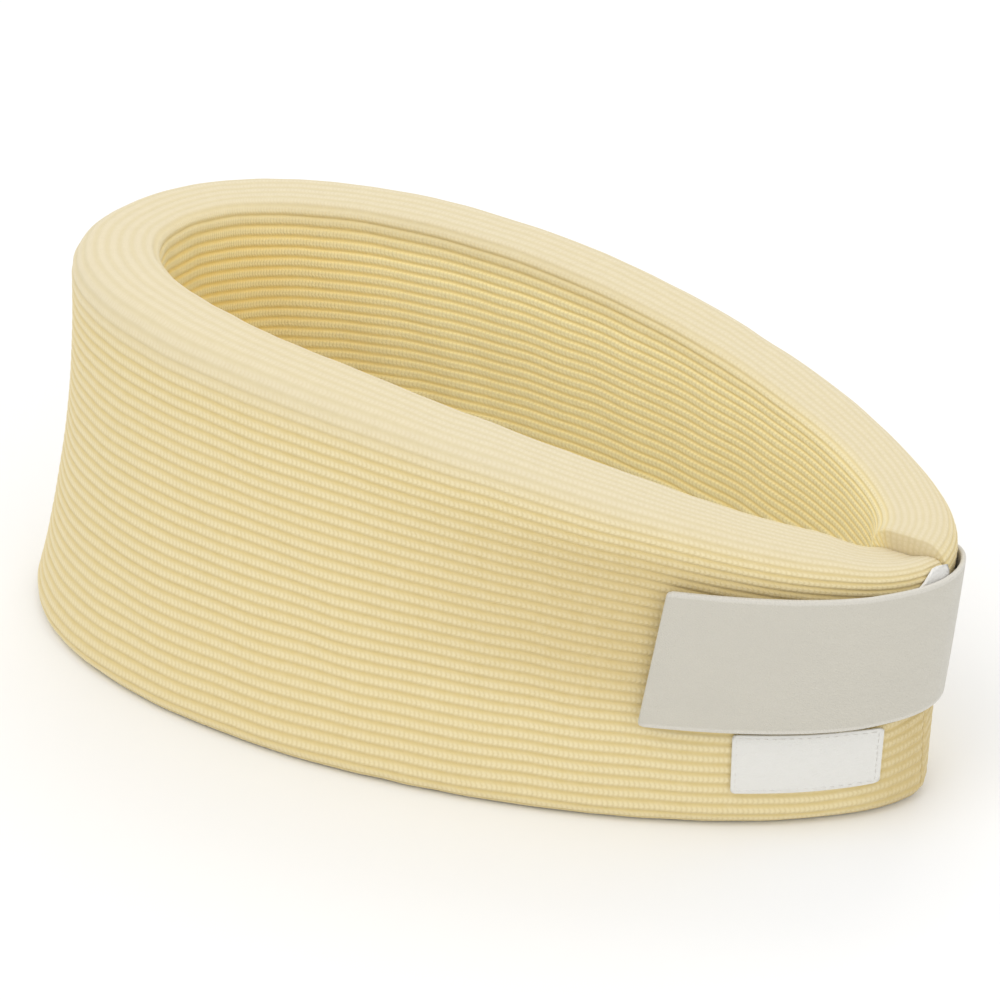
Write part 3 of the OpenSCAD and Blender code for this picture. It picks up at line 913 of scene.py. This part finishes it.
steps_a = np.linspace(ANCHOR_END, 0.0, 46)
steps_b = np.linspace(0.0, -TAB_END, 44)
strap_a = band("strap_sewn_half", strap_spine, steps_a, STRAP_Z, STRAP_TOP, STRAP_T, across=16,
               corner=1.5, ends=(True, False))
strap_b = band("strap_free_half", strap_spine, steps_b, STRAP_Z, STRAP_TOP, STRAP_T, across=16,
               corner=1.6, ends=(False, True), skew=slant)
finish_piece(strap_a, TAPE)
finish_piece(strap_b, TAPE)
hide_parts("strap_anchor", "strap_bridge")
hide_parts("strap_tab")
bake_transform(strap_a)
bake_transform(strap_b)

# loop pad: lies on the second arm and wraps its end
LOOP_Z0, LOOP_Z1 = STRAP_Z + 2.0, STRAP_TOP - 2.0


def loop_spine(s, z, lift):
    """s is the distance along the pad from the middle of the front; at the end's corner it turns in.
    Its top edge rises there."""
    s, z, lift = np.broadcast_arrays(np.asarray(s, float), np.asarray(z, float), np.asarray(lift, float))
    edge = END + LOOP_R
    a = np.clip((edge - s) / (LOOP_R + 0.5), 0, math.radians(40))
    r = LOOP_R + PAD_LIFT + lift
    share = (z - LOOP_Z0) / (LOOP_Z1 - LOOP_Z0)
    up = np.clip((6.5 - s) / 4.0, 0, 1)
    rise = 4.4 * up * up * (3 - 2 * up) * share
    d = np.where(s >= edge, s, edge - r * np.sin(a))
    w = np.where(s >= edge, T + PAD_LIFT + lift, T - LOOP_R + r * np.cos(a))
    # above the wall's flat part it leans in with the top edge's rounding
    top = np.clip(z + rise - (height(d) - R_TOP_OUT), 0, R_TOP_OUT)
    w = w - (R_TOP_OUT - np.sqrt(R_TOP_OUT ** 2 - top ** 2))
    return arm_place(NEAR, d, w, z + rise)


loop_pad = band("loop_pad_cloth", loop_spine, np.linspace(TAB_END - 8, END + LOOP_R - 1.9, 60), LOOP_Z0, LOOP_Z1, LOOP_T,
                across=14, corner=2.6)
finish_piece(loop_pad, LOOP, "near_half")
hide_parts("loop_pad")

# label
LABEL_0, LABEL_1, LABEL_Z, LABEL_H, LABEL_T = 8.5, 40.0, 11.0, 17.0, 0.6
def label_spine(s, z, lift):
    """The label dips a little towards its front end."""
    dip = 0.9 * np.clip((LABEL_0 + 9 - np.asarray(s, float)) / 9, 0, 1) ** 2
    return arm_place(NEAR, s, T + 0.10 + lift, z - dip * np.clip((z - LABEL_Z) / LABEL_H, 0, 1))


label = band("label_cloth", label_spine, np.linspace(LABEL_1, LABEL_0, 60), LABEL_Z, LABEL_Z + LABEL_H, LABEL_T,
             edge=0.25, across=12, corner=1.3, wavy=0.06)
finish_piece(label, LABEL, "near_half")
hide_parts("label")


# ---------------------------------------------------------------- hooks
def hook_piece():
    """The hook patch: a thin backing with rows of small bent hooks on its inner face."""
    backing = band("hook_patch_cloth", lambda s, z, lift: strap_spine(-s, z, lift - (TAB_LIFT - HOOK_LIFT)),
                   np.linspace(TAB_END - 5, FOLD_D + 5, 26), STRAP_Z + 2, STRAP_TOP - 2, HOOK_T - 0.35, edge=0.15,
                   across=10, corner=1.0)
    verts, faces = [], []
    count = 0
    r = 0.10
    zs = np.arange(STRAP_Z + 3.2, STRAP_TOP - 3.0, 1.25)
    ds = np.arange(FOLD_D + 6.2, TAB_END - 7.5, 1.15)
    for iz, z in enumerate(zs):
        for d in ds + (0.55 if iz % 2 else 0.0):
            lean = -1 if iz % 2 else 1
            path = [(0.0, 0.02), (0.02, -0.30), (0.16, -0.52), (0.38, -0.55), (0.50, -0.40)]
            for k, (du, dl) in enumerate(path):
                rr = r * (1.15 - 0.12 * k)
                for c in range(4):
                    a = math.pi / 2 * c
                    verts.append((d + lean * du + (rr * math.cos(a) if k < 2 else 0), z + rr * math.sin(a),
                                  HOOK_LIFT + 0.33 + dl + (rr * math.cos(a) if k >= 2 else 0)))
            for k in range(len(path) - 1):
                for c in range(4):
                    a0, a1 = count + k * 4 + c, count + k * 4 + (c + 1) % 4
                    faces.append([a0, a1, a1 + 4, a0 + 4])
            faces.append([count + 3, count + 2, count + 1, count])
            top = count + (len(path) - 1) * 4
            faces.append([top, top + 1, top + 2, top + 3])
            count += len(path) * 4
    v = np.array(verts)
    pts = place(NEAR, v[:, 0], T + v[:, 2], v[:, 1])
    hooks = new_mesh("hook_rows", pts, faces)
    return backing, outward(hooks)


backing, hooks = hook_piece()
for ob in (backing, hooks):                  # they bend with the tape that carries them
    finish_piece(ob, HOOK)
    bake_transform(ob)
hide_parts("hook_patch")


# ---------------------------------------------------------------- thread
def threads(name, stitches, r, material, body, arch=0.32, node=None):
    """Each stitch is a short arched thread between two points, with its ends drawn into the cloth.
    stitches: (start, end, outward) in millimetres."""
    verts, faces, uvs = [], [], []
    n, m = 9, 7
    for a, b, up in stitches:
        a, b, up = (np.array(x, float) for x in (a, b, up))
        along = b - a
        length = np.linalg.norm(along)
        along = along / length
        up = up - (up @ along) * along
        up /= np.linalg.norm(up)
        across = np.cross(along, up)
        base = len(verts)
        for k in range(n):
            f = k / (n - 1)
            lift = r * (arch / 0.32) * 1.35 * math.sin(math.pi * f) ** 0.6 - r * 0.75
            mid = a + along * length * f + up * lift
            rr = r * (0.55 + 0.45 * math.sin(math.pi * f) ** 0.5)
            for c in range(m):
                g = 2 * math.pi * c / m
                verts.append(mid + rr * (math.cos(g) * across + math.sin(g) * up))
        for k in range(n - 1):
            for c in range(m):
                q = [base + k * m + c, base + k * m + (c + 1) % m, base + (k + 1) * m + (c + 1) % m, base + (k + 1) * m + c]
                faces.append(q)
                x0, x1 = length * k / (n - 1), length * (k + 1) / (n - 1)
                uvs += [(x0, c / m), (x0, (c + 1) / m), (x1, (c + 1) / m), (x1, c / m)]
        faces.append([base + c for c in range(m)][::-1])
        uvs += [(0, c / m) for c in range(m)]
        faces.append([base + (n - 1) * m + c for c in range(m)])
        uvs += [(length, c / m) for c in range(m)]
    ob = outward(new_mesh(name, verts, faces, uvs))
    finish_piece(ob, material, body)
    if node:
        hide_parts(*node)
    return ob


def surface_stitches(spine, lift, corners, pitch, fill=0.66, closed=True):
    """Stitches along straight runs between (s, z) corners on a spine at lift."""
    out = []
    runs = list(zip(corners, corners[1:] + corners[:1])) if closed else list(zip(corners, corners[1:]))
    for (s0, z0), (s1, z1) in runs:
        length = math.hypot(s1 - s0, z1 - z0)
        n = max(2, int(round(length / pitch)))
        for k in range(n):
            f0, f1 = (k + (1 - fill) / 2) / n, (k + (1 + fill) / 2) / n
            a = spine(s0 + (s1 - s0) * f0, z0 + (z1 - z0) * f0, lift)
            b = spine(s0 + (s1 - s0) * f1, z0 + (z1 - z0) * f1, lift)
            up = spine(s0 + (s1 - s0) * (f0 + f1) / 2, z0 + (z1 - z0) * (f0 + f1) / 2, lift + 1.0) - \
                spine(s0 + (s1 - s0) * (f0 + f1) / 2, z0 + (z1 - z0) * (f0 + f1) / 2, lift)
            out.append((a, b, up))
    return out


s0, s1 = FOLD_D + 16, ANCHOR_END - 3
z0, z1 = STRAP_Z + 3, STRAP_TOP - 3
box = surface_stitches(strap_spine, STRAP_T, [(s0, z0), (s1, z0), (s1, z1), (s0, z1)], 2.6)
box += surface_stitches(strap_spine, STRAP_T, [(s0 + 0.6, z0 + 0.6), (s1 - 0.6, z1 - 0.6)], 2.6, closed=False)
box += surface_stitches(strap_spine, STRAP_T, [(s0 + 0.6, z1 - 0.6), (s1 - 0.6, z0 + 0.6)], 2.6, closed=False)
threads("strap_stitches", box, 0.26, GREY_THREAD, "far_half", node=["strap_anchor_stitching"])

lab = surface_stitches(label_spine, LABEL_T, [(LABEL_0 + 1, LABEL_Z + 1.0), (LABEL_1 - 1, LABEL_Z + 1.0),
                                                   (LABEL_1 - 1, LABEL_Z + LABEL_H - 1.0), (LABEL_0 + 1, LABEL_Z + LABEL_H - 1.0)], 1.9)
threads("label_stitches", lab, 0.10, WHITE_THREAD, "near_half", node=["label_stitching"])

pad = surface_stitches(loop_spine, LOOP_T, [(TAB_END - 9.2, LOOP_Z0 + 1.2), (TAB_END - 9.2, LOOP_Z1 - 1.2)], 2.4, closed=False)
pad += surface_stitches(loop_spine, LOOP_T, [(TAB_END - 9.2, LOOP_Z0 + 1.2), (END + 6, LOOP_Z0 + 1.2)], 2.4, closed=False)
pad += surface_stitches(loop_spine, LOOP_T, [(TAB_END - 9.2, LOOP_Z1 - 1.2), (END + 6, LOOP_Z1 - 1.2)], 2.4, closed=False)
threads("loop_pad_stitches", pad, 0.14, WHITE_THREAD, "near_half", arch=0.25, node=["loop_pad_stitching"])


def closing_stitches(side):
    """Slanting stitches that draw the folded mouth of the cover shut."""
    out = []
    n = 17
    for k in range(n):
        z = 10.5 + (float(height(END)) - 21) * k / (n - 1)
        a = arm_place(side, END + 0.55, -1.5, z - 0.9)
        b = arm_place(side, END + 0.55, 1.5, z + 0.9)
        up = np.array([0.0, -side, 0.0])
        out.append((a, b, up))
    return out


threads("first_end_stitches", closing_stitches(FAR), 0.16, THREAD, "far_half", node=["end_seam_far"])
threads("second_end_stitches", closing_stitches(NEAR), 0.16, THREAD, "near_half", node=["end_seam_near"])


# ---------------------------------------------------------------- floor, light, camera
def floor():
    me = bpy.data.meshes.new("floor")
    s = 6.0
    me.from_pydata([(-s, -s, 0), (s, -s, 0), (s, s, 0), (-s, s, 0)], [], [(0, 1, 2, 3)])
    ob = bpy.data.objects.new("floor", me)
    bpy.context.scene.collection.objects.link(ob)
    m = bpy.data.materials.new("pale_floor")
    m.use_nodes = True
    b = m.node_tree.nodes["Principled BSDF"]
    b.inputs["Base Color"].default_value = (0.92, 0.92, 0.92, 1)
    b.inputs["Roughness"].default_value = 0.9
    b.inputs["Specular IOR Level"].default_value = 0.0
    me.materials.append(m)


def area(name, at, aim, size, watts, colour=(1, 1, 1)):
    light = bpy.data.lights.new(name, "AREA")
    light.shape = "RECTANGLE"
    light.size, light.size_y = size
    light.energy = watts
    light.color = colour
    ob = bpy.data.objects.new(name, light)
    bpy.context.scene.collection.objects.link(ob)
    ob.location = at
    ob.rotation_euler = (Vector(aim) - Vector(at)).to_track_quat("-Z", "Y").to_euler()
    return ob


floor()
world = bpy.data.worlds.new("studio")
bpy.context.scene.world = world
world.use_nodes = True
world.node_tree.nodes["Background"].inputs[0].default_value = (1.0, 1.0, 1.0, 1)
world.node_tree.nodes["Background"].inputs[1].default_value = 0.88
area("top", (-0.30, 0.80, 1.10), (0.0, 0.0, 0.05), (0.8, 0.8), 2.4)
area("front", (-0.10, -0.75, 1.35), (0.0, 0.0, 0.05), (0.9, 0.9), 4.4)
area("side", (1.00, -0.55, 0.75), (0.0, 0.0, 0.05), (0.7, 0.7), 1.9)

cam = bpy.data.cameras.new("camera")
cam_ob = bpy.data.objects.new("camera", cam)
bpy.context.scene.collection.objects.link(cam_ob)
AZ, EL = math.radians(33.232), math.radians(27.822)
back = Vector((math.sin(AZ) * math.cos(EL), -math.cos(AZ) * math.cos(EL), math.sin(EL)))
cam_ob.location = (0.42021, -0.62532, 0.44247)
cam_ob.rotation_mode = "QUATERNION"
cam_ob.rotation_quaternion = (-back).to_track_quat("-Z", "Y")
cam.lens = 116.74
cam.sensor_width = 36.0
cam.dof.use_dof = False
bpy.context.scene.camera = cam_ob
bpy.context.scene.view_settings.view_transform = "Standard"
bpy.context.scene.view_settings.look = "None"
